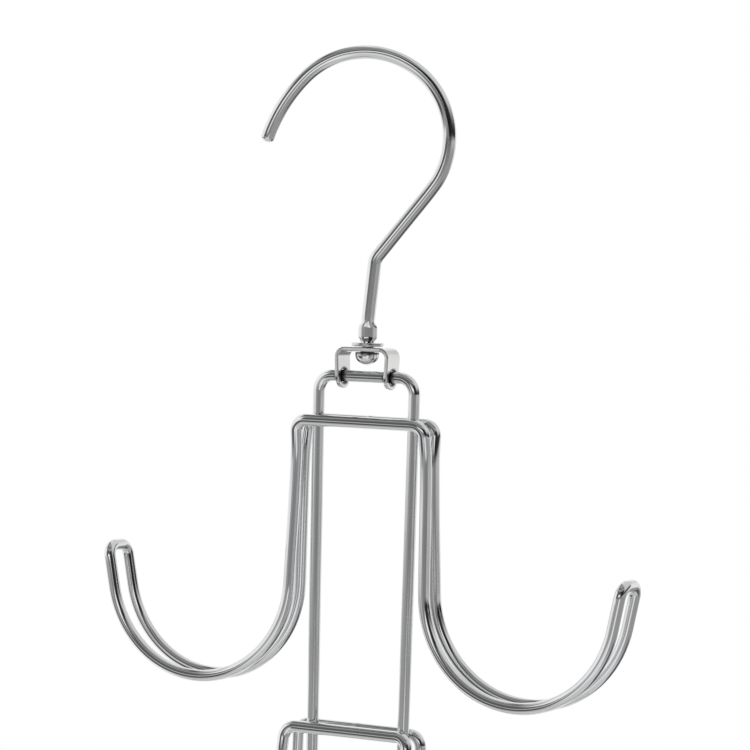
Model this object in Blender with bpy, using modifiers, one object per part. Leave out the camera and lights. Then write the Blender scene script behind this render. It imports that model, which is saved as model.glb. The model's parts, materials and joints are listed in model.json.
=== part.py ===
# Rotating accessory hanger: a welded frame of chromed wire with two tiers of double hooks, on a swivel hook.
# Metres, +Z up. The origin is the place inside the hook's arc where the rod bears.
# +X runs along the hanger's bars and +Y to its back.

import math

import bmesh
import bpy
from mathutils import Vector

# Wires, and the gaps between pieces that touch
frame_wire = 0.0035
hook_wire = 0.0040
weld_gap = 0.0003
running_gap = 0.0003

# Top hook in its own plane; heights are above the frame's top bar
hook_inner_radius = 0.0227
hook_centre_height = 0.0698
hook_arc_offset = 0.0023
hook_limb_angle = math.radians(136.5)
hook_limb_radius = 0.0470
hook_open_angle = math.radians(163.5)
hook_close_angle = math.radians(38)
hip_softening = 0.0030
elbow_height = 0.0344
elbow_offset = 0.0016
elbow_bend_radius = 0.0050
hook_turn = math.radians(25)

# Pinched stop on the hook's neck, and the head that holds the saddle
neck_lead = 0.0008
stop_length = 0.0056
stop_ear = 0.0008
stop_press = 0.0004
stop_bluntness = 0.6
head_flange = 0.0015
head_height = 0.0037
head_rim = 0.0008
head_crown = math.radians(75)
head_step = 0.00003
head_room = 0.00165

# Swivel saddle, bent from a strip of sheet
saddle_sheet = 0.0012
saddle_bend_radius = 0.0018
saddle_leg_lean = math.radians(3)
saddle_end_gap = 0.0023
saddle_wall = 0.0013
saddle_edge = 0.0002
pivot_clearance = 0.0003
bar_clearance = 0.00035

# Washer between the neck's stop and the saddle
washer_rim = 0.0024
washer_thickness = 0.0010
washer_edge = 0.0002

# Frame, and where the double hooks clasp it
frame_half_width = 0.0161
frame_narrowing = 0.0009
frame_corner_radius = 0.0048
first_tier_drop = 0.0133
tier_pitch = 0.0907
frame_tail = 0.0133

# Double hooks; drops are below the tier's own bars
upper_leg_offset = 0.0054
lower_leg_offset = 0.0046
lower_sideways = -0.0018
bar_corner_radius = 0.0036
leg_drop = 0.0486
leg_spread = math.radians(1.5)
hook_radius = 0.0308
arm_lean = math.radians(11.5)
arm_length = 0.0125
tip_corner_radius = 0.0034

# How far the two wires of a double hook stand from the frame's plane
upper_leg_reach = 0.0024
lower_front_leg_reach = 0.0054
lower_back_leg_reach = 0.0040
leg_settling_length = 0.0070
leg_foot_reach = 0.0033
hook_bottom_reach = 0.0046
tip_reach = 0.0050

# Fineness
wire_resolution = 4
fine_step = math.radians(9)
bend_step = math.radians(18)
leg_stations = 6
hip_stations = 4
stop_stations = 6
dome_steps = 4
strip_bend_lines = 5
turned_steps = 28
smooth_limit = math.radians(35)
broken_edge_limit = math.radians(50)
weld_distance = 0.00001

# Places and sizes that follow from these
saddle_top_height = frame_wire / 2 + head_room + head_height + running_gap + saddle_sheet
head_top_height = saddle_top_height - saddle_sheet - running_gap
washer_bottom_height = saddle_top_height + running_gap
stop_bottom_height = washer_bottom_height + washer_thickness + running_gap
stop_top_height = stop_bottom_height + stop_length
pivot_hole_radius = hook_wire / 2 + pivot_clearance
bar_hole_radius = frame_wire / 2 + bar_clearance
bar_reach = frame_wire + weld_gap
upper_bar_height = -first_tier_drop
lower_bar_height = upper_bar_height - tier_pitch
frame_bottom_height = lower_bar_height - frame_tail
hook_plane = Vector((math.cos(hook_turn), math.sin(hook_turn), 0))
hook_normal = Vector((-math.sin(hook_turn), math.cos(hook_turn), 0))
swivel_centre = hook_plane * hook_arc_offset - Vector((0, 0, hook_centre_height + hook_inner_radius))


def clear_scene():
    for item in list(bpy.data.objects):
        bpy.data.objects.remove(item, do_unlink=True)


def make_collection(name):
    group = bpy.data.collections.new(name)
    bpy.context.scene.collection.children.link(group)
    return group


def make_axis(name, place, parent, group):
    """An empty whose place is a joint's axis."""
    empty = bpy.data.objects.new(name, None)
    empty.empty_display_size = 0.01
    empty.location = place
    empty.parent = parent
    group.objects.link(empty)
    return empty


def metal(name, colour, roughness):
    material = bpy.data.materials.new(name)
    material.use_nodes = True
    shader = material.node_tree.nodes["Principled BSDF"]
    shader.inputs["Base Color"].default_value = (*colour, 1)
    shader.inputs["Roughness"].default_value = roughness
    shader.inputs["Metallic"].default_value = 1.0
    return material


def polished_chrome(name):
    return metal(name, (0.78, 0.79, 0.80), 0.08)


def place_piece(piece, parent, material, group):
    """Gives a piece its parent, its finish and its place in the collection."""
    if piece.name not in group.objects:
        group.objects.link(piece)
    piece.parent = parent
    piece.data.materials.clear()
    piece.data.materials.append(material)
    if piece.type == "MESH":
        piece.data.shade_smooth()
        piece.data.set_sharp_from_angle(angle=smooth_limit)
    return piece


def arc(centre, radius, start, end, step):
    """Points on a circle in a plane, from one angle to another."""
    count = max(2, round(abs(end - start) / step))
    points = []
    for index in range(count + 1):
        angle = start + (end - start) * index / count
        points.append(Vector((centre[0] + radius * math.cos(angle), centre[1] + radius * math.sin(angle))))
    return points


def fillet(before, corner, after, radius, step):
    """Points of the bend that rounds one corner of a path in a plane."""
    inward = (before - corner).normalized()
    outward = (after - corner).normalized()
    half = inward.angle(outward) / 2
    centre = corner + (inward + outward).normalized() * radius / math.sin(half)
    first = corner + inward * radius / math.tan(half)
    last = corner + outward * radius / math.tan(half)
    start = math.atan2(first.y - centre.y, first.x - centre.x)
    end = math.atan2(last.y - centre.y, last.x - centre.x)
    turn = (end - start + math.pi) % (2 * math.pi) - math.pi
    return arc(centre, radius, start, start + turn, step)


def wire(name, places, diameter, swells=None, closed=False):
    """A round wire through the places; swells scale its thickness at each of them."""
    curve = bpy.data.curves.new(name, "CURVE")
    curve.dimensions = "3D"
    curve.bevel_depth = diameter / 2
    curve.bevel_resolution = wire_resolution
    curve.use_fill_caps = True
    spline = curve.splines.new("POLY")
    spline.points.add(len(places) - 1)
    for index, place in enumerate(places):
        spline.points[index].co = (*place, 1)
        if swells:
            spline.points[index].radius = swells[index]
    spline.use_cyclic_u = closed
    return bpy.data.objects.new(name, curve)


def as_mesh(curve_object, group):
    """The surface of a curve as one closed mesh object under the same name."""
    group.objects.link(curve_object)
    bpy.context.view_layer.update()
    graph = bpy.context.evaluated_depsgraph_get()
    mesh = bpy.data.meshes.new_from_object(curve_object.evaluated_get(graph))
    name = curve_object.name
    place = curve_object.matrix_world.copy()
    bpy.data.objects.remove(curve_object, do_unlink=True)
    shape = bmesh.new()
    shape.from_mesh(mesh)
    bmesh.ops.remove_doubles(shape, verts=shape.verts, dist=weld_distance)
    bmesh.ops.recalc_face_normals(shape, faces=shape.faces)
    shape.to_mesh(mesh)
    shape.free()
    solid = bpy.data.objects.new(name, mesh)
    solid.matrix_world = place
    return solid


def hook_path():
    """The hook's centre line from its open end down to its neck, as (across, up) from the frame's top bar."""
    radius = hook_inner_radius + hook_wire / 2
    centre = Vector((-hook_arc_offset, hook_centre_height))
    elbow = Vector((elbow_offset, elbow_height))
    neck = Vector((0, stop_top_height + neck_lead))

    # The limb beside the opening is flatter than the bow, and runs into it without a corner
    limb_way = Vector((math.cos(hook_limb_angle), math.sin(hook_limb_angle)))
    limb_centre = centre + limb_way * (radius - hook_limb_radius)
    limb_step = fine_step * radius / hook_limb_radius
    limb = arc(limb_centre, hook_limb_radius, hook_open_angle, hook_limb_angle, limb_step)

    # The bow stops short of the hip, a soft bend into the straight shank
    bow = arc(centre, radius, hook_limb_angle, -hook_close_angle + hip_softening / radius, fine_step)
    hip = centre + Vector((math.cos(hook_close_angle), -math.sin(hook_close_angle))) * radius
    onward = hip + (elbow - hip).normalized() * hip_softening
    path = limb[:-1] + bow
    for index in range(1, hip_stations + 1):
        share = index / hip_stations
        path.append(bow[-1].lerp(hip, share).lerp(hip.lerp(onward, share), share))
    path += fillet(hip, elbow, neck, elbow_bend_radius, fine_step)
    path.append(neck)
    return path


def make_hook(material, group):
    path = hook_path()
    radius = hook_wire / 2

    # The open end is rounded off
    inward = (path[1] - path[0]).normalized()
    stations = []
    for index in range(1, dome_steps + 1):
        angle = math.pi / 2 * index / dome_steps
        stations.append((path[0] + inward * radius * (1 - math.cos(angle)), math.sin(angle)))
    stations += [(point, 1.0) for point in path[1:]]

    # The stop needs stations of its own along the straight neck
    for index in range(stop_stations + 1):
        stations.append((Vector((0, stop_top_height - stop_length * index / stop_stations)), 1.0))

    # The head: a flat seat under the saddle and a domed face below
    head = 1 + head_flange / radius
    stations.append((Vector((0, head_top_height + head_step)), 1.0))
    stations.append((Vector((0, head_top_height)), head))
    for index in range(dome_steps + 1):
        angle = head_crown * index / dome_steps
        drop = head_rim + (head_height - head_rim) * math.sin(angle) / math.sin(head_crown)
        stations.append((Vector((0, head_top_height - drop)), head * math.cos(angle)))

    places = [hook_plane * point.x + Vector((0, 0, point.y)) + swivel_centre for point, swell in stations]
    curve = wire("swivel_hook", places, hook_wire, [swell for point, swell in stations])
    hook = as_mesh(curve, group)

    # The stop: the wire is pinched thinner, and spreads to an ear on each side
    for vertex in hook.data.vertices:
        offset = vertex.co - swivel_centre
        share = (stop_top_height - offset.z) / stop_length
        if 0 < share < 1:
            press = math.sin(math.pi * share) ** stop_bluntness
            vertex.co += hook_plane * offset.dot(hook_plane) * press * stop_ear / radius
            vertex.co -= hook_normal * offset.dot(hook_normal) * press * stop_press / radius
    return place_piece(hook, None, material, group)


def make_washer(parent, material, group):
    outer = pivot_hole_radius + washer_rim
    top = washer_thickness
    profile = [(pivot_hole_radius, top), (outer - washer_edge, top), (outer, top - washer_edge),
               (outer, washer_edge), (outer - washer_edge, 0), (pivot_hole_radius, 0)]
    mesh = bpy.data.meshes.new("swivel_washer")
    edges = [(index, (index + 1) % len(profile)) for index in range(len(profile))]
    mesh.from_pydata([(across, 0, up) for across, up in profile], edges, [])
    washer = bpy.data.objects.new("swivel_washer", mesh)
    washer.location.z = washer_bottom_height
    screw = washer.modifiers.new("turned", "SCREW")
    screw.angle = math.radians(360)
    screw.steps = turned_steps
    screw.render_steps = turned_steps
    screw.use_merge_vertices = True
    screw.merge_threshold = weld_distance
    return place_piece(washer, parent, material, group)


def make_saddle(parent, material, group):
    # The strip before it is bent: half a flat top, a bend and a leg on each side of the pivot hole
    strip_half_width = max(pivot_hole_radius, bar_hole_radius) + saddle_wall
    outer_half_width = frame_half_width - frame_corner_radius - saddle_end_gap
    flat = outer_half_width - saddle_sheet - saddle_bend_radius
    neutral = saddle_bend_radius + saddle_sheet / 2
    crown = saddle_top_height - saddle_sheet / 2
    full_turn = math.pi / 2 + saddle_leg_lean
    bend = neutral * full_turn
    leg = (crown - neutral * (1 - math.cos(full_turn))) / math.sin(full_turn)
    eye = flat + bend + leg

    outline = arc((eye, 0), strip_half_width, -math.pi / 2, math.pi / 2, bend_step)
    outline += arc((-eye, 0), strip_half_width, math.pi / 2, math.pi * 3 / 2, bend_step)
    rings = [outline]
    for place, radius in ((eye, bar_hole_radius), (-eye, bar_hole_radius), (0, pivot_hole_radius)):
        rings.append(arc((place, 0), radius, 0, 2 * math.pi, 2 * math.pi / turned_steps)[:-1])
    curve = bpy.data.curves.new("saddle_blank", "CURVE")
    curve.dimensions = "2D"
    curve.fill_mode = "BOTH"
    curve.extrude = saddle_sheet / 2
    for ring in rings:
        spline = curve.splines.new("POLY")
        spline.points.add(len(ring) - 1)
        for index, point in enumerate(ring):
            spline.points[index].co = (point.x, point.y, 0, 1)
        spline.use_cyclic_u = True
    saddle = as_mesh(bpy.data.objects.new("swivel_saddle", curve), group)

    # Lines across both bends let the strip follow them
    shape = bmesh.new()
    shape.from_mesh(saddle.data)
    for index in range(strip_bend_lines + 1):
        for side in (-1, 1):
            geometry = shape.verts[:] + shape.edges[:] + shape.faces[:]
            line = side * (flat + bend * index / strip_bend_lines)
            bmesh.ops.bisect_plane(shape, geom=geometry, dist=weld_distance / 10, plane_co=(line, 0, 0),
                                   plane_no=(1, 0, 0))
    for vertex in shape.verts:
        along = abs(vertex.co.x)
        side = math.copysign(1, vertex.co.x)
        turn = min(max(0.0, along - flat) / neutral, full_turn)
        beyond = max(0.0, along - flat - bend)
        radius = neutral + vertex.co.z
        if along > flat:
            vertex.co.x = side * (flat + radius * math.sin(turn) + beyond * math.cos(turn))
        vertex.co.z = crown - neutral + radius * math.cos(turn) - beyond * math.sin(turn)
    bmesh.ops.recalc_face_normals(shape, faces=shape.faces)
    shape.to_mesh(saddle.data)
    shape.free()

    edges = saddle.modifiers.new("broken edges", "BEVEL")
    edges.width = saddle_edge
    edges.segments = 1
    edges.limit_method = "ANGLE"
    edges.angle_limit = broken_edge_limit
    return place_piece(saddle, parent, material, group)


def make_frame(parent, material, group):
    high = frame_half_width
    low = frame_half_width - frame_narrowing
    bottom = frame_bottom_height
    corners = [Vector((-high, 0)), Vector((high, 0)), Vector((low, bottom)), Vector((-low, bottom))]
    outline = []
    for index, corner in enumerate(corners):
        following = corners[(index + 1) % len(corners)]
        outline += fillet(corners[index - 1], corner, following, frame_corner_radius, bend_step)
    places = [Vector((point.x, 0, point.y)) for point in outline]
    return place_piece(wire("frame_loop", places, frame_wire, closed=True), parent, material, group)


def hook_side(half_width):
    """One wire from the middle of its bar to the turn at its tip, as (out, up), and the run to each landmark."""
    middle = Vector((0, 0))
    foot = Vector((half_width + leg_drop * math.tan(leg_spread), -leg_drop))
    knee = fillet(middle, Vector((half_width, 0)), foot, bar_corner_radius, bend_step)
    side = [middle] + knee
    marks = {"bar": 1, "knee": len(side) - 1}
    side += [knee[-1].lerp(foot, index / leg_stations) for index in range(1, leg_stations)]
    marks["foot"] = len(side)
    centre = foot + Vector((math.cos(leg_spread), math.sin(leg_spread))) * hook_radius
    side += arc(centre, hook_radius, math.pi + leg_spread, math.pi * 3 / 2, fine_step)
    marks["bottom"] = len(side) - 1
    side += arc(centre, hook_radius, math.pi * 3 / 2, 2 * math.pi - arm_lean, fine_step)[1:]
    arm = Vector((math.sin(arm_lean), math.cos(arm_lean)))
    side.append(side[-1] + arm * (arm_length - tip_corner_radius))
    runs = [0.0]
    for before, after in zip(side, side[1:]):
        runs.append(runs[-1] + (after - before).length)
    return side, runs, {name: runs[index] for name, index in marks.items()}, arm


def reach_at(run, stations):
    """How far the wire stands from the frame's plane, on a smooth line through the stations."""
    slopes = [0.0]
    for before, after in zip(stations, stations[2:]):
        slopes.append((after[1] - before[1]) / (after[0] - before[0]))
    slopes.append(0.0)
    for index in range(len(stations) - 1):
        start, low = stations[index]
        end, high = stations[index + 1]
        if run <= end or index == len(stations) - 2:
            length = end - start
            t = min(1.0, (run - start) / length)
            return (low * (1 + 2 * t) * (1 - t) ** 2 + high * t * t * (3 - 2 * t)
                    + length * slopes[index] * t * (1 - t) ** 2 - length * slopes[index + 1] * t * t * (1 - t))


def make_double_hook(name, bar_height, leg_offset, front_leg, back_leg, sideways, parent, material, group):
    """Two wires that clasp the frame and turn into each other at the two tips: one closed loop."""
    side, runs, marks, arm = hook_side(frame_half_width + leg_offset)

    def half_wire(sign, leg):
        stations = [(0.0, bar_reach), (marks["bar"], bar_reach), (marks["knee"] + leg_settling_length, leg),
                    (marks["foot"], leg_foot_reach), (marks["bottom"], hook_bottom_reach), (runs[-1], tip_reach)]
        return [(point, sign * reach_at(run, stations)) for point, run in zip(side, runs)]

    def placed(point, depth, hand):
        return Vector((hand * point.x + sideways, depth, bar_height + point.y))

    # The turn over the tip runs from the front wire to the back one, with a short straight between its bends
    straight = tip_reach - tip_corner_radius
    turn = arc((-straight, 0), tip_corner_radius, math.pi, math.pi / 2, bend_step)
    turn += arc((straight, 0), tip_corner_radius, math.pi / 2, 0, bend_step)
    tip = [(side[-1] + arm * point.y, point.x) for point in turn[1:-1]]

    front = half_wire(-1, front_leg)
    back = half_wire(1, back_leg)
    places = [placed(point, depth, -1) for point, depth in front[:0:-1]]
    places += [placed(point, depth, 1) for point, depth in front + tip + back[:0:-1]]
    places += [placed(point, depth, -1) for point, depth in back + tip[::-1]]
    return place_piece(wire(name, places, frame_wire, closed=True), parent, material, group)


clear_scene()
hanger = make_collection("rotating_accessory_hanger")
swivel_axis = make_axis("swivel_axis", swivel_centre, None, hanger)
rocking_axis = make_axis("rocking_axis", (0, 0, 0), swivel_axis, hanger)
make_hook(polished_chrome("hook_chrome"), hanger)
make_washer(swivel_axis, metal("washer_zinc", (0.62, 0.63, 0.64), 0.28), hanger)
make_saddle(swivel_axis, metal("saddle_nickel", (0.72, 0.72, 0.70), 0.16), hanger)
make_frame(rocking_axis, polished_chrome("frame_chrome"), hanger)
make_double_hook("upper_double_hook", upper_bar_height, upper_leg_offset, upper_leg_reach, upper_leg_reach, 0.0,
                 rocking_axis, polished_chrome("upper_chrome"), hanger)
make_double_hook("lower_double_hook", lower_bar_height, lower_leg_offset, lower_front_leg_reach,
                 lower_back_leg_reach, lower_sideways, rocking_axis, polished_chrome("lower_chrome"), hanger)
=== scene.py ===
import json
import math

import bmesh
import bpy
from mathutils import Matrix, Vector, noise


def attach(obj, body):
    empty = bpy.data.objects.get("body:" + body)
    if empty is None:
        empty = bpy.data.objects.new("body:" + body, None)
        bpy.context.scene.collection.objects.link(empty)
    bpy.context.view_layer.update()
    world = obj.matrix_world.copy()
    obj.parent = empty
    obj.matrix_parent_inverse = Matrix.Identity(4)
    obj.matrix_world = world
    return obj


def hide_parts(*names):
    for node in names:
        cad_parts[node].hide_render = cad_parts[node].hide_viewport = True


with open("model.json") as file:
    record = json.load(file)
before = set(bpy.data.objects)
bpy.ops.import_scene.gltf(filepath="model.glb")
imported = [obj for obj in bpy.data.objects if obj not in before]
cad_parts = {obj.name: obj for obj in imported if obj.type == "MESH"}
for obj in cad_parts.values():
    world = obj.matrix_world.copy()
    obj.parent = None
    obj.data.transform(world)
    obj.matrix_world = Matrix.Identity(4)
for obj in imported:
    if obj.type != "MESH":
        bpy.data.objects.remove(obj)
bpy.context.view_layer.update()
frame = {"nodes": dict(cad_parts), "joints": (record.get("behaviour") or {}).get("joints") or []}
noise.seed_set(7)            # so that the wires stray alike on each run
mm = 0.001                   # lengths below are in millimetres, from the swivel's place on the top bar
swivel = next(joint for joint in frame["joints"] if joint["name"] == "saddle_swivel")
hangerOrigin = Vector(swivel["pos_m"])
print("frame loaded:", sorted(frame["nodes"]))


# Paths in a plane, as (across, up)

def arcPoints(centre, radius, start, end, step=4.0):
    count = max(2, round(abs(end - start) / step))
    points = []
    for index in range(count + 1):
        angle = math.radians(start + (end - start) * index / count)
        across = centre[0] + radius * math.cos(angle)
        up = centre[1] + radius * math.sin(angle)
        points.append(Vector((across, up)))
    return points


def bendPoints(before, corner, after, radius, step=6.0):
    inward = (before - corner).normalized()
    outward = (after - corner).normalized()
    half = inward.angle(outward) / 2
    centre = corner + (inward + outward).normalized() * radius / math.sin(half)
    first = corner + inward * radius / math.tan(half) - centre
    last = corner + outward * radius / math.tan(half) - centre
    start = math.degrees(math.atan2(first.y, first.x))
    end = math.degrees(math.atan2(last.y, last.x))
    turn = (end - start + 180) % 360 - 180
    return arcPoints(centre, radius, start, start + turn, step)


def straightPoints(start, end, spacing=3.0):
    # the points between the two ends, without the ends
    count = max(1, round((end - start).length / spacing))
    return [start.lerp(end, index / count) for index in range(1, count)]


# Meshes

wanderScale = 24.0           # the length over which a pressed wire strays one way


def toMesh(name, bm):
    bmesh.ops.recalc_face_normals(bm, faces=bm.faces)
    mesh = bpy.data.meshes.new(name)
    bm.to_mesh(mesh)
    bm.free()
    mesh.shade_smooth()
    piece = bpy.data.objects.new(name, mesh)
    bpy.context.scene.collection.objects.link(piece)
    return piece


def sweepWire(name, places, radius, closed=False, sides=32, shape=None, startNormal=None, wander=0.0):
    # A round wire through the places. shape gives each place its (wide, thick) share of the radius.
    # wander is how far a wire straightened and bent in a press strays from its drawn line.
    if wander:
        places = [place + noise.noise_vector(place / wanderScale) * wander for place in places]
    count = len(places)
    tangents = []
    for index in range(count):
        before = places[index - 1] if closed or index else places[0]
        after = places[(index + 1) % count] if closed or index < count - 1 else places[-1]
        tangents.append((after - before).normalized())
    normal = startNormal or tangents[0].orthogonal().normalized()
    normals = [normal]
    for index in range(1, count):
        normal = tangents[index - 1].rotation_difference(tangents[index]) @ normal
        normals.append(normal.normalized())
    runs = [0.0]
    for index in range(1, count + closed):
        runs.append(runs[-1] + (places[index % count] - places[index - 1]).length)
    if closed:
        # the leftover twist is spread along the loop
        last = tangents[-1].rotation_difference(tangents[0]) @ normals[-1]
        twist = math.atan2(last.cross(normals[0]).dot(tangents[0]), last.dot(normals[0]))
        for index in range(count):
            untwist = Matrix.Rotation(twist * runs[index] / runs[-1], 3, tangents[index])
            normals[index] = untwist @ normals[index]

    bm = bmesh.new()
    uvLayer = bm.loops.layers.uv.new("alongWire")
    rings = []
    for index, place in enumerate(places):
        across = normals[index].cross(tangents[index])
        wide, thick = shape[index] if shape else (1.0, 1.0)
        ring = []
        for side in range(sides):
            angle = 2 * math.pi * side / sides
            offset = across * math.cos(angle) * wide + normals[index] * math.sin(angle) * thick
            ring.append(bm.verts.new(hangerOrigin + (place + offset * radius) * mm))
        rings.append(ring)
    girth = 2 * math.pi * radius
    for index in range(count if closed else count - 1):
        ring, nextRing = rings[index], rings[(index + 1) % count]
        for side in range(sides):
            other = (side + 1) % sides
            face = bm.faces.new((ring[side], ring[other], nextRing[other], nextRing[side]))
            spots = ((side, index), (side + 1, index), (side + 1, index + 1), (side, index + 1))
            for loop, (around, along) in zip(face.loops, spots):
                loop[uvLayer].uv = (around / sides, runs[along] / girth)
    if not closed:
        for ring, place in ((rings[0], places[0]), (rings[-1], places[-1])):
            centre = bm.verts.new(hangerOrigin + place * mm)
            for side in range(sides):
                bm.faces.new((ring[side], ring[(side + 1) % sides], centre))
    return toMesh(name, bm)


def placeMesh(name, bm):
    # a mesh made in the hanger's own millimetres goes to its place in the frame
    for vert in bm.verts:
        vert.co = hangerOrigin + vert.co * mm
    return toMesh(name, bm)


def weightNormals(piece):
    weighted = piece.modifiers.new("weightedNormals", "WEIGHTED_NORMAL")
    weighted.keep_sharp = True


def ridePiece(piece, body, slot, material, *nodes):
    piece.data.materials.clear()
    piece.data.materials.append(material)
    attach(piece, body)
    if nodes:
        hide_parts(*nodes)


# Finishes: plated wire with the faint lines of drawing, an uneven polish and a little handling haze

plating = {
    "hazeDetail": 5.0,
    "hazeRoughness": 0.62,
    "hazeRange": (0.35, 0.72),
    "lineStretch": 0.035,    # the drawing lines' scale along the wire, as a share of that round it
    "lineDetail": 3.0,
    "lineRange": (0.55, 0.75),
    "lineDepth": 0.00002,
    "castScale": 0.35,       # as a share of the haze's scale
    "castDetail": 3.0,
    "castRange": (0.42, 0.68),
    "peelDetail": 2.0,
    "peelDepth": 0.00004,
}


def addNode(tree, kind, **values):
    node = tree.nodes.new(kind)
    for name, value in values.items():
        if name.startswith("in_"):
            node.inputs[name[3:].replace("_", " ")].default_value = value
        else:
            setattr(node, name, value)
    return node


def addNoise(tree, vector, scale, detail, roughness=0.5):
    node = addNode(tree, "ShaderNodeTexNoise", in_Scale=scale, in_Detail=detail, in_Roughness=roughness)
    tree.links.new(vector, node.inputs["Vector"])
    return node.outputs["Fac"]


def addRange(tree, source, span, low, high):
    node = addNode(tree, "ShaderNodeMapRange", in_From_Min=span[0], in_From_Max=span[1],
                   in_To_Min=low, in_To_Max=high)
    tree.links.new(source, node.inputs["Value"])
    return node.outputs["Result"]


def addBump(tree, height, strength, depth):
    node = addNode(tree, "ShaderNodeBump", in_Strength=strength, in_Distance=depth)
    tree.links.new(height, node.inputs["Height"])
    return node


def addPaintedShade(tree, rub, place, breakUp, shader):
    # painted shade where two pieces meet, with a little rub smut: near-black colour and more roughness
    # around a line or a point, given in the hanger's own place
    link = tree.links.new
    local = addNode(tree, "ShaderNodeVectorMath", operation="SUBTRACT")
    link(place, local.inputs[0])
    local.inputs[1].default_value = hangerOrigin
    folded = addNode(tree, "ShaderNodeVectorMath", operation="ABSOLUTE")
    link(local.outputs[0], folded.inputs[0])
    away = addNode(tree, "ShaderNodeVectorMath", operation="SUBTRACT")
    link(folded.outputs[0], away.inputs[0])
    away.inputs[1].default_value = Vector(rub["centre"]) * mm
    kept = addNode(tree, "ShaderNodeVectorMath", operation="MULTIPLY")
    link(away.outputs[0], kept.inputs[0])
    kept.inputs[1].default_value = rub["across"]
    distance = addNode(tree, "ShaderNodeVectorMath", operation="LENGTH")
    link(kept.outputs[0], distance.inputs[0])
    uneven = addNode(tree, "ShaderNodeMath", operation="MULTIPLY_ADD")
    link(breakUp, uneven.inputs[0])
    uneven.inputs[1].default_value = rub["uneven"] * mm
    link(distance.outputs["Value"], uneven.inputs[2])
    share = addNode(tree, "ShaderNodeMapRange", interpolation_type="SMOOTHSTEP",
                    in_From_Min=rub["full"] * mm, in_From_Max=rub["unshaded"] * mm,
                    in_To_Min=rub["share"], in_To_Max=0.0)
    link(uneven.outputs["Value"], share.inputs["Value"])
    for socket, kind, indices, shadedValue in (("Base Color", "RGBA", (6, 7, 2), (*rub["colour"], 1)),
                                        ("Roughness", "FLOAT", (2, 3, 0), rub["roughness"])):
        mix = addNode(tree, "ShaderNodeMix", data_type=kind)
        link(share.outputs["Result"], mix.inputs[0])
        link(shader.inputs[socket].links[0].from_socket, mix.inputs[indices[0]])
        mix.inputs[indices[1]].default_value = shadedValue
        link(mix.outputs[indices[2]], shader.inputs[socket])


def platedMetal(name, look):
    material = bpy.data.materials.new(name)
    material.use_nodes = True
    tree = material.node_tree
    link = tree.links.new
    shader = tree.nodes["Principled BSDF"]
    shader.inputs["Metallic"].default_value = 1.0

    place = addNode(tree, "ShaderNodeTexCoord")
    alongWire = addNode(tree, "ShaderNodeUVMap", uv_map="alongWire")

    # uneven polish
    haze = addNoise(tree, place.outputs["Object"], look["hazeScale"], plating["hazeDetail"],
                    plating["hazeRoughness"])
    dullest = look["roughness"] + look["roughnessSpread"]
    roughness = addRange(tree, haze, plating["hazeRange"], look["roughness"], dullest)

    # drawing lines run along the wire
    stretch = addNode(tree, "ShaderNodeMapping")
    around = look["drawLines"]
    stretch.inputs["Scale"].default_value = (around, around * plating["lineStretch"], 1.0)
    link(alongWire.outputs["UV"], stretch.inputs["Vector"])
    lines = addNoise(tree, stretch.outputs["Vector"], 1.0, plating["lineDetail"])
    lineRough = addRange(tree, lines, plating["lineRange"], 0.0, look["lineRoughness"])
    roughSum = addNode(tree, "ShaderNodeMath", operation="ADD")
    link(roughness, roughSum.inputs[0])
    link(lineRough, roughSum.inputs[1])
    link(roughSum.outputs["Value"], shader.inputs["Roughness"])

    # colour: clean plate, and a slightly duller cast where the polish missed
    castScale = look["hazeScale"] * plating["castScale"]
    cast = addNoise(tree, place.outputs["Object"], castScale, plating["castDetail"])
    blendColour = addNode(tree, "ShaderNodeMix", data_type="RGBA")
    blendColour.inputs[6].default_value = (*look["colour"], 1)
    blendColour.inputs[7].default_value = (*look["castColour"], 1)
    link(addRange(tree, cast, plating["castRange"], 0.0, look["castShare"]), blendColour.inputs[0])
    link(blendColour.outputs[2], shader.inputs["Base Color"])
    # painted shade where pieces meet: the colour goes near black and the roughness rises
    if "rub" in look:
        addPaintedShade(tree, look["rub"], place.outputs["Object"], haze, shader)

    # relief: orange peel of the plating, and the drawing lines
    peel = addNoise(tree, place.outputs["Object"], look["peelScale"], plating["peelDetail"])
    peelBump = addBump(tree, peel, look["peelStrength"], plating["peelDepth"])
    lineBump = addBump(tree, lines, look["lineStrength"], plating["lineDepth"])
    link(peelBump.outputs["Normal"], lineBump.inputs["Normal"])
    link(lineBump.outputs["Normal"], shader.inputs["Normal"])
    return material


chromeLook = {
    "colour": (0.80, 0.805, 0.815),
    "castColour": (0.66, 0.655, 0.65),
    "castShare": 0.35,
    "roughness": 0.055,
    "roughnessSpread": 0.05,
    "lineRoughness": 0.05,
    "hazeScale": 90.0,
    "drawLines": 26.0,
    "peelScale": 700.0,
    "peelStrength": 0.10,
    "lineStrength": 0.10,
}
hookLook = {**chromeLook, "roughness": 0.06, "drawLines": 30.0}
tierLook = {**chromeLook}    # a copy, because the frame's own look gets painted shade, with a little rub smut, below
sheetLook = {
    **chromeLook,
    "colour": (0.76, 0.76, 0.75),
    "castColour": (0.60, 0.60, 0.62),
    "castShare": 0.5,
    "roughness": 0.10,
    "roughnessSpread": 0.08,
    "hazeScale": 260.0,
    "peelScale": 1100.0,
    "peelStrength": 0.16,
    "lineStrength": 0.0,
    "lineRoughness": 0.0,
}
washerLook = {**sheetLook, "colour": (0.70, 0.705, 0.72), "roughness": 0.17, "roughnessSpread": 0.10}
weldLook = {
    **sheetLook,
    "colour": (0.66, 0.65, 0.64),
    "castColour": (0.42, 0.40, 0.39),
    "castShare": 0.8,
    "roughness": 0.20,
    "roughnessSpread": 0.22,
    "hazeScale": 900.0,
    "peelScale": 2600.0,
    "peelStrength": 0.55,
}


# Sizes of the swivel's pieces: all of them first, because the hook's neck passes through the others

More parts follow.
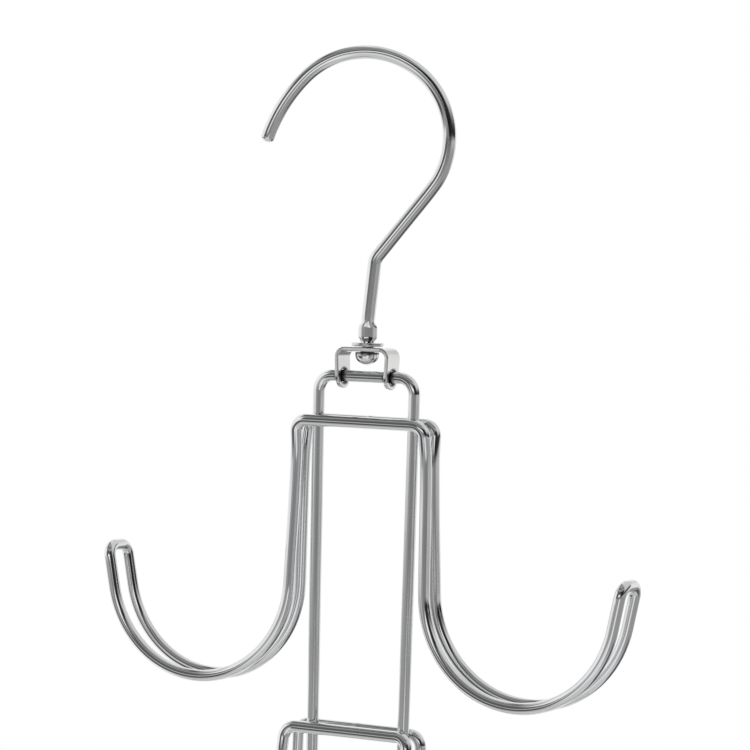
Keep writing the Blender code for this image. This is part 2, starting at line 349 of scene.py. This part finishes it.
gaps = {
    "running": 0.3,
    "weld": 0.3,
    "pivot": 0.3,
    "bar": 0.35,
}
frameWire = 3.5
hookWire = {
    "diameter": 4.0,
    "innerRadius": 22.7,
    "arcCentre": (-2.3, 69.8),
    "limbAngle": 136.5,      # where the flatter limb beside the opening takes over from the bow
    "limbRadius": 47.0,
    "limbStep": 1.8,         # degrees between two stations
    "bowStep": 2.5,
    "openAngle": 163.5,
    "closeAngle": -38.0,
    "hipSoftening": 3.0,
    "hipSteps": 8,
    "elbow": (1.6, 34.4),
    "elbowRadius": 5.0,
    "elbowStep": 3.0,
    "turn": 25.0,            # degrees about the swivel, from the hanger's bars
    "neckLead": 0.8,
    "neckSpacing": 1.5,
    "endSteps": 9,
    "endPower": 0.8,         # how full the tumbled cut end is
    "endReach": 0.7,
    "stopSteps": 26,
    "stopPower": 0.8,
    "stopGain": 1.25,
    "stopLength": 5.6,
    "stopEar": 0.8,          # how far each pinched ear stands out
    "stopPress": 0.4,
    "headFlange": 1.5,
    "headHeight": 3.7,
    "headRim": 0.8,
    "headRoom": 1.65,        # between the head and the frame's top bar
    "headDimple": 0.35,
    "headSteps": 14,
    "headEnd": 84.0,         # degrees of the dome, which leaves the dimple open
    "headNeck": ((0.10, 1.0), (0.02, 1.05), (0.0, 1.12)),       # (height over the head's top, swell)
    "headEdge": ((0.0, -0.08), (-0.05, -0.02), (-0.15, 0.0)),   # (the same height, swell over the head's)
    "dimpleRings": ((0.5, 0.09), (1.0, 0.04)),                  # (share of its depth, share of the head)
    "sides": 40,
}
saddleStrip = {
    "sheet": 1.2,
    "bendRadius": 1.8,
    "legLean": 3.0,
    "halfWidth": 9.0,
    "wall": 1.3,
    "edge": 0.22,
    "edgeSteps": 3,
    "endStep": 5,            # degrees between two points of a round end
    "eyeStep": 7.5,
    "bendLines": 16,
    "sharpAngle": 50,
    "leanAtBar": 0.4,        # how far a leg has come in where it meets the frame's bar
}
washerRing = {
    "rim": 2.4,
    "thickness": 1.0,
    "edge": 0.22,
    "edgeStep": 22.5,
    "segments": 72,
}
headBottom = frameWire / 2 + hookWire["headRoom"]
saddleTop = headBottom + hookWire["headHeight"] + gaps["running"] + saddleStrip["sheet"]
headTop = saddleTop - saddleStrip["sheet"] - gaps["running"]
washerBottom = saddleTop + gaps["running"]
stopBottom = washerBottom + washerRing["thickness"] + gaps["running"]
stopTop = stopBottom + hookWire["stopLength"]
pivotHole = hookWire["diameter"] / 2 + gaps["pivot"]
barHole = frameWire / 2 + gaps["bar"]
eyeAcross = saddleStrip["halfWidth"] - saddleStrip["sheet"] / 2 - saddleStrip["leanAtBar"]

# painted shade, near black, where pieces meet; a little of it stands for rub smut
smutAndShade = {
    "colour": (0.055, 0.05, 0.048),
    "roughness": 0.34,
    "share": 0.93,
    "uneven": 0.5,
}
rubs = {                     # painted shade where pieces meet and rub, and how far from there the shade is full and gone
    "eyes": {"centre": (0, 0, 0), "across": (0, 1, 1), "full": barHole + 0.35, "unshaded": barHole + 1.25},
    "bar": {"centre": (eyeAcross, 0, 0), "across": (1, 0, 1), "full": 1.5, "unshaded": 2.9},
    "neck": {"centre": (0, 0, headTop), "across": (0, 0, 1), "full": 0.3, "unshaded": 1.3},
}
# the painted shade goes onto the saddle round its eyes, the frame's bar under them and the hook's neck
# under the saddle
sheetLook["rub"] = {**smutAndShade, **rubs["eyes"]}
chromeLook["rub"] = {**smutAndShade, **rubs["bar"]}
hookLook["rub"] = {**smutAndShade, **rubs["neck"]}
hookChrome = platedMetal("hookChrome", hookLook)
frameChrome = platedMetal("frameChrome", chromeLook)
tierChrome = platedMetal("tierChrome", tierLook)
saddlePlate = platedMetal("saddlePlate", sheetLook)
washerPlate = platedMetal("washerPlate", washerLook)
weldPlate = platedMetal("weldPlate", weldLook)
print("finishes made")


# Hook: one wire, pinched to two ears above the washer and headed over under the saddle

def makeHook():
    radius = hookWire["diameter"] / 2
    bowRadius = hookWire["innerRadius"] + radius
    centre = Vector(hookWire["arcCentre"])
    elbow = Vector(hookWire["elbow"])
    neck = Vector((0, stopTop + hookWire["neckLead"]))
    softening = hookWire["hipSoftening"]
    closeAt = hookWire["closeAngle"] + math.degrees(softening / bowRadius)
    bow = arcPoints(centre, bowRadius, hookWire["limbAngle"], closeAt, hookWire["bowStep"])
    limbAngle = math.radians(hookWire["limbAngle"])
    limbRadius = hookWire["limbRadius"]
    limbCentre = centre + Vector((math.cos(limbAngle), math.sin(limbAngle))) * (bowRadius - limbRadius)
    limb = arcPoints(limbCentre, limbRadius, hookWire["openAngle"], hookWire["limbAngle"],
                     hookWire["limbStep"])
    closeAngle = math.radians(hookWire["closeAngle"])
    hip = centre + Vector((math.cos(closeAngle), math.sin(closeAngle))) * bowRadius
    onward = hip + (elbow - hip).normalized() * softening
    path = limb[:-1] + bow
    for index in range(1, hookWire["hipSteps"] + 1):
        share = index / hookWire["hipSteps"]
        path.append(bow[-1].lerp(hip, share).lerp(hip.lerp(onward, share), share))
    elbowBend = bendPoints(hip, elbow, neck, hookWire["elbowRadius"], hookWire["elbowStep"])
    path += straightPoints(onward, elbowBend[0]) + elbowBend
    path += straightPoints(elbowBend[-1], neck, hookWire["neckSpacing"]) + [neck]

    stations = []
    inward = (path[1] - path[0]).normalized()
    endReach = hookWire["endReach"]
    for index in range(1, hookWire["endSteps"] + 1):     # the cut end, rounded off by tumbling
        angle = math.pi / 2 * index / hookWire["endSteps"]
        swell = math.sin(angle) ** hookWire["endPower"]
        stations.append((path[0] + inward * radius * endReach * (1 - math.cos(angle)), swell, swell))
    stations += [(point, 1.0, 1.0) for point in path[1:] if (point - path[0]).length > radius]

    for index in range(hookWire["stopSteps"] + 1):       # the two pinched ears
        share = index / hookWire["stopSteps"]
        press = 0.0
        if 0 < share < 1:
            press = min(1.0, math.sin(math.pi * share) ** hookWire["stopPower"] * hookWire["stopGain"])
        press = press * press * (3 - 2 * press)
        wide = 1 + hookWire["stopEar"] / radius * press
        thick = 1 - hookWire["stopPress"] / radius * press
        stations.append((Vector((0, stopTop - hookWire["stopLength"] * share)), wide, thick))

    head = 1 + hookWire["headFlange"] / radius
    shoulder = list(hookWire["headNeck"]) + [(up, head + more) for up, more in hookWire["headEdge"]]
    for up, swell in shoulder:
        stations.append((Vector((0, headTop + up)), swell, swell))
    rim = hookWire["headRim"]
    domeEnd = math.sin(math.radians(hookWire["headEnd"]))
    for index in range(hookWire["headSteps"] + 1):
        angle = math.radians(hookWire["headEnd"] * index / hookWire["headSteps"])
        drop = rim + (hookWire["headHeight"] - rim) * math.sin(angle) / domeEnd
        stations.append((Vector((0, headTop - drop)), head * math.cos(angle), head * math.cos(angle)))
    low = headTop - hookWire["headHeight"]
    for depth, share in hookWire["dimpleRings"]:
        stations.append((Vector((0, low + hookWire["headDimple"] * depth)), share * head, share * head))

    turn = math.radians(hookWire["turn"])
    planeAcross = Vector((math.cos(turn), math.sin(turn), 0))
    places = [planeAcross * point.x + Vector((0, 0, point.y)) for point, wide, thick in stations]
    shape = [(wide, thick) for point, wide, thick in stations]
    piece = sweepWire("hookWirePiece", places, radius, sides=hookWire["sides"], shape=shape,
                      startNormal=Vector((-math.sin(turn), math.cos(turn), 0)))
    ridePiece(piece, "hook", "hook_chrome", hookChrome, "swivel_hook")


makeHook()
print("hook made")


# Washer: a turned ring, its edges broken

def makeWasher():
    outer = pivotHole + washerRing["rim"]
    edge = washerRing["edge"]
    low, high = washerBottom, washerBottom + washerRing["thickness"]
    corners = ((outer - edge, high - edge, 0), (pivotHole + edge, high - edge, 90),
               (pivotHole + edge, low + edge, 180), (outer - edge, low + edge, 270))
    profile = []
    for across, up, start in corners:
        profile += arcPoints((across, up), edge, start, start + 90, washerRing["edgeStep"])
    bm = bmesh.new()
    verts = [bm.verts.new((point.x, 0, point.y)) for point in profile]
    for index in range(len(verts)):
        bm.edges.new((verts[index], verts[(index + 1) % len(verts)]))
    bmesh.ops.spin(bm, geom=bm.verts[:] + bm.edges[:], cent=(0, 0, 0), axis=(0, 0, 1), dvec=(0, 0, 0),
                   angle=math.radians(360), steps=washerRing["segments"],
                   use_merge=True, use_duplicate=False)
    bmesh.ops.remove_doubles(bm, verts=bm.verts, dist=0.0001)
    piece = placeMesh("washerRing", bm)
    weightNormals(piece)
    ridePiece(piece, "hook", "washer_zinc", washerPlate, "swivel_washer")


makeWasher()


# Saddle: a punched strip with round eyes, bent down on both sides

def makeSaddle():
    sheet = saddleStrip["sheet"]
    bendRadius = saddleStrip["bendRadius"]
    halfStrip = max(pivotHole, barHole) + saddleStrip["wall"]
    flat = saddleStrip["halfWidth"] - sheet - bendRadius
    neutral = bendRadius + sheet / 2
    crown = saddleTop - sheet / 2
    fullTurn = math.radians(90 + saddleStrip["legLean"])
    bend = neutral * fullTurn
    leg = (crown - neutral * (1 - math.cos(fullTurn))) / math.sin(fullTurn)
    eye = flat + bend + leg

    endStep = saddleStrip["endStep"]
    outline = arcPoints((eye, 0), halfStrip, -90, 90, endStep)
    outline += arcPoints((-eye, 0), halfStrip, 90, 270, endStep)
    rings = [outline]
    for place, radius in ((eye, barHole), (-eye, barHole), (0, pivotHole)):
        rings.append(arcPoints((place, 0), radius, 0, 360, saddleStrip["eyeStep"])[:-1])
    curve = bpy.data.curves.new("saddleBlank", "CURVE")
    curve.dimensions = "2D"
    curve.fill_mode = "BOTH"
    curve.extrude = sheet / 2 - saddleStrip["edge"]
    curve.bevel_depth = saddleStrip["edge"]
    curve.bevel_resolution = saddleStrip["edgeSteps"]
    curve.offset = -saddleStrip["edge"]
    for ring in rings:
        spline = curve.splines.new("POLY")
        spline.points.add(len(ring) - 1)
        for index, point in enumerate(ring):
            spline.points[index].co = (point.x, point.y, 0, 1)
        spline.use_cyclic_u = True
    blank = bpy.data.objects.new("saddleBlank", curve)
    bpy.context.scene.collection.objects.link(blank)
    bpy.context.view_layer.update()
    mesh = bpy.data.meshes.new_from_object(blank.evaluated_get(bpy.context.evaluated_depsgraph_get()))
    bpy.data.objects.remove(blank, do_unlink=True)

    bm = bmesh.new()
    bm.from_mesh(mesh)
    bmesh.ops.remove_doubles(bm, verts=bm.verts, dist=0.001)
    bendLines = saddleStrip["bendLines"]
    for index in range(bendLines + 1):
        for side in (-1, 1):
            line = side * (flat + bend * index / bendLines)
            bmesh.ops.bisect_plane(bm, geom=bm.verts[:] + bm.edges[:] + bm.faces[:], dist=0.0001,
                                   plane_co=(line, 0, 0), plane_no=(1, 0, 0))
    for vert in bm.verts:
        along, side = abs(vert.co.x), math.copysign(1, vert.co.x)
        turn = min(max(0.0, along - flat) / neutral, fullTurn)
        beyond = max(0.0, along - flat - bend)
        radius = neutral + vert.co.z
        if along > flat:
            vert.co.x = side * (flat + radius * math.sin(turn) + beyond * math.cos(turn))
        vert.co.z = crown - neutral + radius * math.cos(turn) - beyond * math.sin(turn)
    piece = placeMesh("saddleStrip", bm)
    piece.data.set_sharp_from_angle(angle=math.radians(saddleStrip["sharpAngle"]))
    weightNormals(piece)
    ridePiece(piece, "saddle", "saddle_nickel", saddlePlate, "swivel_saddle")


makeSaddle()
print("washer and saddle made")


# Frame: one wire bent to a tall rounded rectangle, butt welded in the middle of its bottom bar

frameLoop = {
    "halfWidth": 16.1,
    "narrowing": 0.9,        # by which each upright comes in towards the bottom
    "cornerRadius": 4.8,
    "firstTierDrop": 13.3,
    "tierPitch": 90.7,
    "tail": 13.3,
    "seamSwell": 0.07,
    "seamLength": 1.3,
    "seamSpacing": 0.3,      # between two stations on the bottom bar, which carries the seam
    "spacing": 3.0,
    "wander": 0.05,
}
upperBar = -frameLoop["firstTierDrop"]
lowerBar = upperBar - frameLoop["tierPitch"]
frameBottom = lowerBar - frameLoop["tail"]
seamSteepness = 4


def seamShape(places, seam, swell, length):
    # a butt weld leaves a low ring round the wire
    shape = []
    for place in places:
        away = (place - seam).length / length
        size = 1 + swell * math.exp(-away * away * seamSteepness)
        shape.append((size, size))
    return shape


def makeFrame():
    high = frameLoop["halfWidth"]
    low = high - frameLoop["narrowing"]
    corners = [Vector((-high, 0)), Vector((high, 0))]
    corners += [Vector((low, frameBottom)), Vector((-low, frameBottom))]
    bends = []
    for index, corner in enumerate(corners):
        following = corners[(index + 1) % 4]
        bends.append(bendPoints(corners[index - 1], corner, following, frameLoop["cornerRadius"]))
    outline = []
    for index, points in enumerate(bends):
        spacing = frameLoop["seamSpacing" if index == 2 else "spacing"]
        outline += points + straightPoints(points[-1], bends[(index + 1) % 4][0], spacing)
    places = [Vector((point.x, 0, point.y)) for point in outline]
    seam = Vector((0, 0, frameBottom))
    shape = seamShape(places, seam, frameLoop["seamSwell"], frameLoop["seamLength"])
    piece = sweepWire("frameLoopWire", places, frameWire / 2, closed=True, shape=shape,
                      wander=frameLoop["wander"])
    ridePiece(piece, "hanger", "frame_chrome", frameChrome, "frame_loop")


makeFrame()
print("frame made")


# Double hooks: one wire loop each, that clasps the frame front and back

doubleHook = {
    "barCornerRadius": 3.6,
    "legDrop": 48.6,
    "legSpread": 1.5,        # degrees that each leg leans outwards
    "hookRadius": 30.8,
    "armLean": 11.5,
    "armLength": 12.5,
    "tipCornerRadius": 3.4,
    "settling": 7.0,
    "footReach": 3.3,
    "bottomReach": 4.6,
    "tipReach": 5.0,
    "tipStep": 9,
    "barSpacing": 1.0,
    "armSpacing": 2.0,
    "wander": 0.07,
    "seamSwell": 0.06,
    "seamLength": 1.2,
}
tiers = {
    "upper": {"bar": upperBar, "legOffset": 5.4, "frontLeg": 2.4, "backLeg": 2.4, "sideways": 0.0},
    "lower": {"bar": lowerBar, "legOffset": 4.6, "frontLeg": 5.4, "backLeg": 4.0, "sideways": -1.8},
}
barReach = frameWire + gaps["weld"]


def reachAt(run, marks):
    # how far a wire stands from the frame's plane, on a smooth line through the marks
    slopes = [0.0]
    for before, after in zip(marks, marks[2:]):
        slopes.append((after[1] - before[1]) / (after[0] - before[0]))
    slopes.append(0.0)
    for index in range(len(marks) - 1):
        (start, low), (end, high) = marks[index], marks[index + 1]
        if run <= end or index == len(marks) - 2:
            length = end - start
            t = min(1.0, (run - start) / length)
            return (low * (1 + 2 * t) * (1 - t) ** 2 + high * t * t * (3 - 2 * t)
                    + length * slopes[index] * t * (1 - t) ** 2
                    - length * slopes[index + 1] * t * t * (1 - t))


def makeDoubleHook(name, tier, slot, node):
    halfWidth = frameLoop["halfWidth"] + tier["legOffset"]
    spread = math.radians(doubleHook["legSpread"])
    middle = Vector((0, 0))
    foot = Vector((halfWidth + doubleHook["legDrop"] * math.tan(spread), -doubleHook["legDrop"]))
    knee = bendPoints(middle, Vector((halfWidth, 0)), foot, doubleHook["barCornerRadius"])
    side = [middle] + straightPoints(middle, knee[0], doubleHook["barSpacing"])
    marks = {"bar": len(side)}
    side += knee
    marks["knee"] = len(side) - 1
    side += straightPoints(knee[-1], foot)
    marks["foot"] = len(side)
    bend = doubleHook["hookRadius"]
    centre = foot + Vector((math.cos(spread), math.sin(spread))) * bend
    side += arcPoints(centre, bend, 180 + doubleHook["legSpread"], 270)
    marks["bottom"] = len(side) - 1
    side += arcPoints(centre, bend, 270, 360 - doubleHook["armLean"])[1:]
    lean = math.radians(doubleHook["armLean"])
    arm = Vector((math.sin(lean), math.cos(lean)))
    tipBend = doubleHook["tipCornerRadius"]
    armEnd = side[-1] + arm * (doubleHook["armLength"] - tipBend)
    side += straightPoints(side[-1], armEnd, doubleHook["armSpacing"]) + [armEnd]
    runs = [0.0]
    for before, after in zip(side, side[1:]):
        runs.append(runs[-1] + (after - before).length)

    def halfWire(sign, legReach):
        stations = [(0.0, barReach), (runs[marks["bar"]], barReach),
                    (runs[marks["knee"]] + doubleHook["settling"], legReach),
                    (runs[marks["foot"]], doubleHook["footReach"]),
                    (runs[marks["bottom"]], doubleHook["bottomReach"]),
                    (runs[-1], doubleHook["tipReach"])]
        wire = []
        for point, run in zip(side, runs):
            reach = barReach if run <= runs[marks["bar"]] else reachAt(run, stations)
            wire.append((point, sign * reach))
        return wire

    def placed(point, depth, hand):
        return Vector((hand * point.x + tier["sideways"], depth, tier["bar"] + point.y))

    half = doubleHook["tipReach"] - tipBend
    turn = arcPoints((-half, 0), tipBend, 180, 90, doubleHook["tipStep"])
    turn += arcPoints((half, 0), tipBend, 90, 0, doubleHook["tipStep"])
    tip = [(side[-1] + arm * point.y, point.x) for point in turn[1:-1]]
    front, back = halfWire(-1, tier["frontLeg"]), halfWire(1, tier["backLeg"])
    places = [placed(point, depth, -1) for point, depth in front[:0:-1]]
    places += [placed(point, depth, 1) for point, depth in front + tip + back[:0:-1]]
    places += [placed(point, depth, -1) for point, depth in back + tip[::-1]]
    seam = Vector((tier["sideways"], barReach, tier["bar"]))
    shape = seamShape(places, seam, doubleHook["seamSwell"], doubleHook["seamLength"])
    piece = sweepWire(name, places, frameWire / 2, closed=True, shape=shape, wander=doubleHook["wander"])
    ridePiece(piece, "hanger", slot, tierChrome, node)


makeDoubleHook("upperHooksWire", tiers["upper"], "upper_chrome", "upper_double_hook")
makeDoubleHook("lowerHooksWire", tiers["lower"], "lower_chrome", "lower_double_hook")
print("double hooks made")


# Welds: small squeezed-out nuggets where each bar crosses an upright

weldNugget = {
    "radius": 1.15,
    "thickness": 0.62,
    "unevenness": 0.16,
    "lumpScale": 1.7,
}


def makeWelds(name, bar, slot):
    across = frameLoop["halfWidth"] - frameLoop["narrowing"] * (bar / frameBottom)
    size = Vector((weldNugget["radius"], weldNugget["thickness"], weldNugget["radius"]))
    bm = bmesh.new()
    for hand in (-1, 1):
        for depth in (-1, 1):
            centre = Vector((hand * across, depth * barReach / 2, bar))
            made = bmesh.ops.create_icosphere(bm, subdivisions=3, radius=1.0)["verts"]
            for vert in made:
                lump = noise.noise(vert.co * weldNugget["lumpScale"] + centre)
                bump = 1 + weldNugget["unevenness"] * lump
                vert.co = hangerOrigin + (centre + vert.co * size * bump) * mm
    ridePiece(toMesh(name, bm), "hanger", slot, weldPlate)


makeWelds("upperWelds", upperBar, "upper_chrome")
makeWelds("lowerWelds", lowerBar, "lower_chrome")
print("welds made")


# Studio: a white sweep behind and below, a darker room above and on the camera's side

cameraPlace = {
    "azimuth": 29.62,
    "elevation": 2.19,
    "roll": 1.48,
    "lens": 152.2,
    "distance": 924.8,
    "target": (2.79, 0.0, 0.61),
    "sensor": 36.0,
    "nearest": 10.0,
    "farthest": 20000.0,
}
studio = {
    "floorDrop": 330.0,
    "floorRadius": 900.0,
    "floorColour": 0.92,
    "floorRoughness": 0.9,
    "floorFade": (0.25, 0.9),     # shares of the radius between which the paper fades into white
    "overheadPower": 1.6,
    "overheadSize": 0.5,
    "overheadPlace": (-0.25, -0.35, 0.9),
    "roomLevel": 0.353,
    "sweepEdge": (0.80, 0.93),    # where the white sweep behind the hanger starts and is full
}
studioCards = {              # left, right, low, high, softness of the edge, level
    "ceiling": (-200, 200, 55, 61, 5, 0.02),
    "behindAboveLeft": (-200, -155, 53, 96, 8, 1.00),
    "behindAboveRight": (132, 200, 20, 96, 8, 1.00),
    "behindBelowLeft": (-200, -89, -81, -21, 8, 1.00),
    "behindBelowRight": (130, 200, -88, -41, 8, 1.00),
    "leftHorizon": (-144, -58, -4, 35, 4, 1.00),
    "leftUp": (-71, -2, 1, 41, 4, 0.12),
    "lowerLeft": (-94, -51, -32, -12, 4, 0.08),
    "lowerFrontLeft": (-48, -7, -44, -18, 7, 0.86),
    "frontDown": (-6, 12, -62, 10, 8, 1.00),
    "down": (-174, 184, -80, -45, 13, 0.67),
    "frontHorizon": (-27, 34, -8, 18, 2.5, 0.25),
    "frontUp": (-35, 0, 6, 19, 2.5, 1.00),
    "rightStrip": (36, 185, 2, 27, 11, 1.00),
    "lowerRight": (77, 147, -59, -28, 3, 0.12),
    "blackSide": (0, 116, 2, 38, 3, 0.02),
    "rightUp": (49, 187, 20, 91, 14, 0.72),
    "sideBehindLeft": (-186, -107, -41, 49, 8, 1.00),
    "sideBehindRight": (158, 178, -51, 43, 5, 1.00),
    "saddleCard": (112, 143, -14, 8, 4, 0.95),
}
blackFlag = {                # a narrow flag in front of the hook, which gives its side the black stretch
    "distance": 264.0,
    "left": -47.0,
    "right": 118.0,
    "low": 80.0,
    "high": 103.0,
    "colour": 0.006,
}


def makeCamera():
    azimuth, elevation = math.radians(cameraPlace["azimuth"]), math.radians(cameraPlace["elevation"])
    level = math.cos(elevation)
    outward = Vector((math.sin(azimuth) * level, -math.cos(azimuth) * level, math.sin(elevation)))
    target = hangerOrigin + Vector(cameraPlace["target"]) * mm
    camera = bpy.data.objects.new("camera", bpy.data.cameras.new("camera"))
    camera.data.sensor_width = cameraPlace["sensor"]
    camera.data.lens = cameraPlace["lens"]
    camera.data.clip_start = cameraPlace["nearest"] * mm
    camera.data.clip_end = cameraPlace["farthest"] * mm
    looking = (-outward).to_track_quat("-Z", "Y").to_matrix().to_4x4()
    rolled = looking @ Matrix.Rotation(math.radians(cameraPlace["roll"]), 4, "Z")
    camera.matrix_world = Matrix.Translation(target + outward * cameraPlace["distance"] * mm) @ rolled
    bpy.context.scene.collection.objects.link(camera)
    bpy.context.scene.camera = camera


def makeFloor():
    bm = bmesh.new()
    bmesh.ops.create_circle(bm, cap_ends=True, segments=96, radius=studio["floorRadius"] * mm)
    floor = toMesh("floor", bm)
    floor.location = (hangerOrigin.x, hangerOrigin.y, hangerOrigin.z - studio["floorDrop"] * mm)
    material = bpy.data.materials.new("floorPaper")
    material.use_nodes = True
    tree = material.node_tree
    link = tree.links.new
    shader = tree.nodes["Principled BSDF"]
    shader.inputs["Base Color"].default_value = (*[studio["floorColour"]] * 3, 1)
    shader.inputs["Roughness"].default_value = studio["floorRoughness"]
    glow = addNode(tree, "ShaderNodeEmission", in_Strength=1.0)
    place = addNode(tree, "ShaderNodeTexCoord")
    reach = addNode(tree, "ShaderNodeVectorMath", operation="LENGTH")
    link(place.outputs["Object"], reach.inputs[0])
    fadeStart, fadeEnd = (studio["floorRadius"] * mm * share for share in studio["floorFade"])
    fade = addNode(tree, "ShaderNodeMapRange", interpolation_type="SMOOTHSTEP",
                   in_From_Min=fadeStart, in_From_Max=fadeEnd)
    link(reach.outputs["Value"], fade.inputs["Value"])
    mix = addNode(tree, "ShaderNodeMixShader")
    link(fade.outputs["Result"], mix.inputs[0])
    link(shader.outputs[0], mix.inputs[1])
    link(glow.outputs[0], mix.inputs[2])
    link(mix.outputs[0], tree.nodes["Material Output"].inputs["Surface"])
    floor.data.materials.append(material)
    floor.visible_glossy = False     # the chrome mirrors the cards below the hanger instead


def makeFlag():
    azimuth = math.radians(cameraPlace["azimuth"])
    toRight = Vector((math.cos(azimuth), math.sin(azimuth), 0))
    toCamera = Vector((math.sin(azimuth), -math.cos(azimuth), 0))
    left, right, low, high = (blackFlag[edge] for edge in ("left", "right", "low", "high"))
    bm = bmesh.new()
    corners = []
    for across, up in ((left, low), (right, low), (right, high), (left, high)):
        place = toRight * across + toCamera * blackFlag["distance"] + Vector((0, 0, up))
        corners.append(bm.verts.new(hangerOrigin + place * mm))
    bm.faces.new(corners)
    flag = toMesh("blackFlag", bm)
    material = bpy.data.materials.new("blackFelt")
    material.use_nodes = True
    shader = material.node_tree.nodes["Principled BSDF"]
    shader.inputs["Base Color"].default_value = (*[blackFlag["colour"]] * 3, 1)
    shader.inputs["Roughness"].default_value = 1.0
    shader.inputs["Specular IOR Level"].default_value = 0.0
    flag.data.materials.append(material)
    flag.visible_camera = False      # only the chrome sees it
    flag.visible_diffuse = False
    flag.visible_transmission = False
    flag.visible_shadow = False


def makeWorld():
    # What the chrome mirrors: soft cards round the camera, in degrees right of it and above it
    world = bpy.data.worlds.new("studio")
    bpy.context.scene.world = world
    world.use_nodes = True
    tree = world.node_tree
    link = tree.links.new
    tree.nodes.clear()

    def maths(operation, first, second=None):
        node = addNode(tree, "ShaderNodeMath", operation=operation)
        for index, value in enumerate((first, second)):
            if isinstance(value, (int, float)):
                node.inputs[index].default_value = value
            elif value is not None:
                link(value, node.inputs[index])
        return node.outputs[0]

    def rise(source, low, high):
        node = addNode(tree, "ShaderNodeMapRange", interpolation_type="SMOOTHSTEP",
                       in_From_Min=low, in_From_Max=high)
        link(source, node.inputs["Value"])
        return node.outputs["Result"]

    def blend(share, under, over):
        node = addNode(tree, "ShaderNodeMix", data_type="FLOAT")
        for index, value in ((0, share), (2, under), (3, over)):
            if isinstance(value, (int, float)):
                node.inputs[index].default_value = value
            else:
                link(value, node.inputs[index])
        return node.outputs[0]

    place = addNode(tree, "ShaderNodeTexCoord")
    facing = addNode(tree, "ShaderNodeMapping", vector_type="VECTOR")
    facing.inputs["Rotation"].default_value = (0, 0, -math.radians(cameraPlace["azimuth"]))
    link(place.outputs["Generated"], facing.inputs["Vector"])
    split = addNode(tree, "ShaderNodeSeparateXYZ")
    link(facing.outputs["Vector"], split.inputs[0])
    toCamera = maths("MULTIPLY", split.outputs["Y"], -1.0)
    around = maths("DEGREES", maths("ARCTAN2", split.outputs["X"], toCamera))
    height = maths("DEGREES", maths("ARCSINE", split.outputs["Z"]))

    room = studio["roomLevel"]
    for left, right, low, high, soft, level in studioCards.values():
        across = maths("MULTIPLY", rise(around, left - soft, left + soft),
                       rise(around, right + soft, right - soft))
        upright = maths("MULTIPLY", rise(height, low - soft, low + soft),
                        rise(height, high + soft, high - soft))
        room = blend(maths("MULTIPLY", across, upright), room, level)
    room = blend(rise(split.outputs["Y"], *studio["sweepEdge"]), room, 1.0)

    rays = addNode(tree, "ShaderNodeLightPath")
    mirrored = maths("MAXIMUM", rays.outputs["Is Glossy Ray"], rays.outputs["Is Transmission Ray"])
    background = addNode(tree, "ShaderNodeBackground", in_Color=(1, 1, 1, 1))
    link(blend(mirrored, 1.0, room), background.inputs["Strength"])
    output = addNode(tree, "ShaderNodeOutputWorld")
    link(background.outputs[0], output.inputs["Surface"])


def makeLamp():
    data = bpy.data.lights.new("overhead", "AREA")
    data.shape = "DISK"
    data.size = studio["overheadSize"]
    data.energy = studio["overheadPower"]
    lamp = bpy.data.objects.new("overhead", data)
    lamp.location = hangerOrigin + Vector(studio["overheadPlace"])
    lamp.rotation_euler = (hangerOrigin - lamp.location).to_track_quat("-Z", "Y").to_euler()
    lamp.visible_glossy = False
    bpy.context.scene.collection.objects.link(lamp)


makeCamera()
makeFloor()
makeFlag()
makeWorld()
makeLamp()
bpy.context.scene.view_settings.view_transform = "Standard"
print("studio made")
